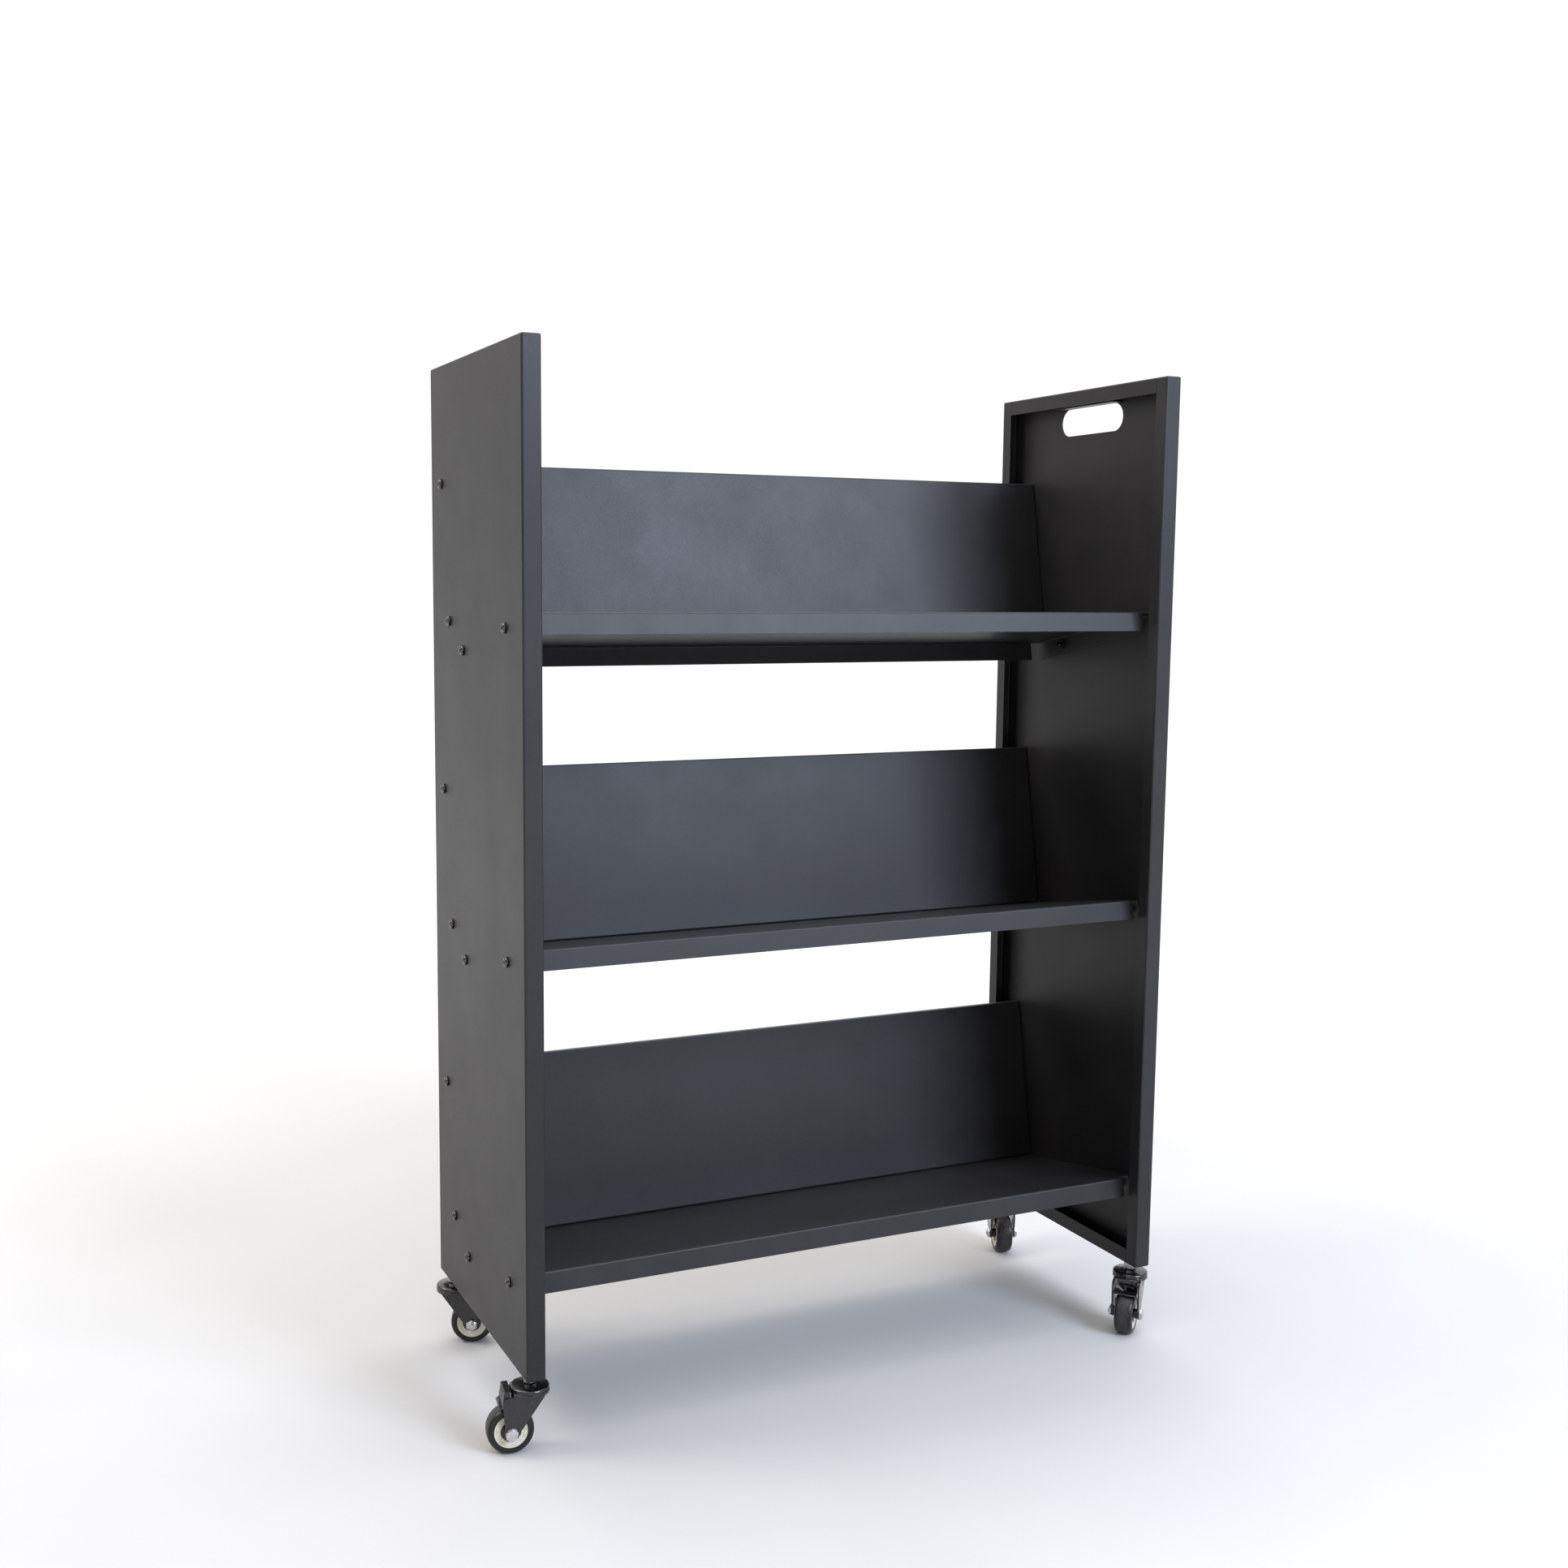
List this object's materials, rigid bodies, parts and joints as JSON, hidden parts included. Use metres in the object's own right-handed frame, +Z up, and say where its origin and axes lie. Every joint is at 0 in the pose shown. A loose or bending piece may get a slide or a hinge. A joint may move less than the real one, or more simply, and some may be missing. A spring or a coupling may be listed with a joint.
{
  "type": "book cart",
  "caption": "Steel book cart: two folded end panels carry three leaning single-sided shelves with back plates, on swivel casters with brakes at the front.",
  "frame": {"origin": "on the floor, under the middle of the cart's bounding box at rest", "axes": "+X along the shelves from the plain end panel to the one with the handle slot, +Y from the open front to the back, +Z up"},
  "size_m": [0.8866, 0.3654, 1.2065],
  "materials": {
    "powder_coat": "satin black powder coat with a fine texture",
    "shelf_bolt": "dark pan-head screws with a recess",
    "zinc_steel": "bright zinc plate",
    "black_fork": "gloss black e-coat",
    "tyre_rubber": "dark rubber",
    "hub_plastic": "cream moulded plastic"
  },
  "bodies": {
    "frame": {"left_end_panel": "powder_coat", "right_end_panel": "powder_coat", "top_tray": "powder_coat", "middle_tray": "powder_coat", "bottom_tray": "powder_coat", "top_back_plate": "powder_coat", "middle_back_plate": "powder_coat", "bottom_back_plate": "powder_coat", "bolt_left_top_tray_front": "shelf_bolt", "bolt_left_top_tray_rear": "shelf_bolt", "bolt_left_top_back_low": "shelf_bolt", "bolt_left_top_back_high": "shelf_bolt", "bolt_left_middle_tray_front": "shelf_bolt", "bolt_left_middle_tray_rear": "shelf_bolt", "bolt_left_middle_back_low": "shelf_bolt", "bolt_left_middle_back_high": "shelf_bolt", "bolt_left_bottom_tray_front": "shelf_bolt", "bolt_left_bottom_tray_rear": "shelf_bolt", "bolt_left_bottom_back_low": "shelf_bolt", "bolt_left_bottom_back_high": "shelf_bolt", "bolt_right_top_tray_front": "shelf_bolt", "bolt_right_top_tray_rear": "shelf_bolt", "bolt_right_top_back_low": "shelf_bolt", "bolt_right_top_back_high": "shelf_bolt", "bolt_right_middle_tray_front": "shelf_bolt", "bolt_right_middle_tray_rear": "shelf_bolt", "bolt_right_middle_back_low": "shelf_bolt", "bolt_right_middle_back_high": "shelf_bolt", "bolt_right_bottom_tray_front": "shelf_bolt", "bolt_right_bottom_tray_rear": "shelf_bolt", "bolt_right_bottom_back_low": "shelf_bolt", "bolt_right_bottom_back_high": "shelf_bolt", "caster_front_left_stem": "zinc_steel", "caster_front_right_stem": "zinc_steel", "caster_rear_left_stem": "zinc_steel", "caster_rear_right_stem": "zinc_steel"},
    "front_left_swivel": {"caster_front_left_fork": "black_fork", "caster_front_left_axle_bolt": "zinc_steel", "caster_front_left_axle_nut": "zinc_steel"},
    "front_left_wheel": {"caster_front_left_tyre": "tyre_rubber", "caster_front_left_hub": "hub_plastic"},
    "front_left_brake": {"caster_front_left_brake_pedal": "black_fork"},
    "front_right_swivel": {"caster_front_right_fork": "black_fork", "caster_front_right_axle_bolt": "zinc_steel", "caster_front_right_axle_nut": "zinc_steel"},
    "front_right_wheel": {"caster_front_right_tyre": "tyre_rubber", "caster_front_right_hub": "hub_plastic"},
    "front_right_brake": {"caster_front_right_brake_pedal": "black_fork"},
    "rear_left_swivel": {"caster_rear_left_fork": "black_fork", "caster_rear_left_axle_bolt": "zinc_steel", "caster_rear_left_axle_nut": "zinc_steel"},
    "rear_left_wheel": {"caster_rear_left_tyre": "tyre_rubber", "caster_rear_left_hub": "hub_plastic"},
    "rear_right_swivel": {"caster_rear_right_fork": "black_fork", "caster_rear_right_axle_bolt": "zinc_steel", "caster_rear_right_axle_nut": "zinc_steel"},
    "rear_right_wheel": {"caster_rear_right_tyre": "tyre_rubber", "caster_rear_right_hub": "hub_plastic"}
  },
  "joints": [
    {"name": "front_left_swivel_turn", "type": "hinge", "parent": "frame", "child": "front_left_swivel", "pos_m": [-0.39376, -0.1433, 0.0865], "axis": [0, 0, 1], "continuous": true},
    {"name": "front_left_wheel_spin", "type": "hinge", "parent": "front_left_swivel", "child": "front_left_wheel", "pos_m": [-0.41597, -0.1397, 0.0265], "axis": [-0.1599, -0.9871, 0], "continuous": true},
    {"name": "front_left_brake_press", "type": "hinge", "parent": "front_left_swivel", "child": "front_left_brake", "pos_m": [-0.41992, -0.13906, 0.064], "axis": [-0.1599, -0.9871, 0], "range_deg": [0, 6]},
    {"name": "front_right_swivel_turn", "type": "hinge", "parent": "frame", "child": "front_right_swivel", "pos_m": [0.42124, -0.1433, 0.0865], "axis": [0, 0, 1], "continuous": true},
    {"name": "front_right_wheel_spin", "type": "hinge", "parent": "front_right_swivel", "child": "front_right_wheel", "pos_m": [0.40465, -0.1585, 0.0265], "axis": [0.6756, -0.7373, 0], "continuous": true},
    {"name": "front_right_brake_press", "type": "hinge", "parent": "front_right_swivel", "child": "front_right_brake", "pos_m": [0.4017, -0.1612, 0.064], "axis": [0.6756, -0.7373, 0], "range_deg": [0, 6]},
    {"name": "rear_left_swivel_turn", "type": "hinge", "parent": "frame", "child": "rear_left_swivel", "pos_m": [-0.39376, 0.1587, 0.0865], "axis": [0, 0, 1], "continuous": true},
    {"name": "rear_left_wheel_spin", "type": "hinge", "parent": "rear_left_swivel", "child": "rear_left_wheel", "pos_m": [-0.37262, 0.15101, 0.0265], "axis": [0.342, 0.9397, 0], "continuous": true},
    {"name": "rear_right_swivel_turn", "type": "hinge", "parent": "frame", "child": "rear_right_swivel", "pos_m": [0.42124, 0.1587, 0.0865], "axis": [0, 0, 1], "continuous": true},
    {"name": "rear_right_wheel_spin", "type": "hinge", "parent": "rear_right_swivel", "child": "rear_right_wheel", "pos_m": [0.41281, 0.13784, 0.0265], "axis": [0.9272, -0.3746, 0], "continuous": true}
  ]
}
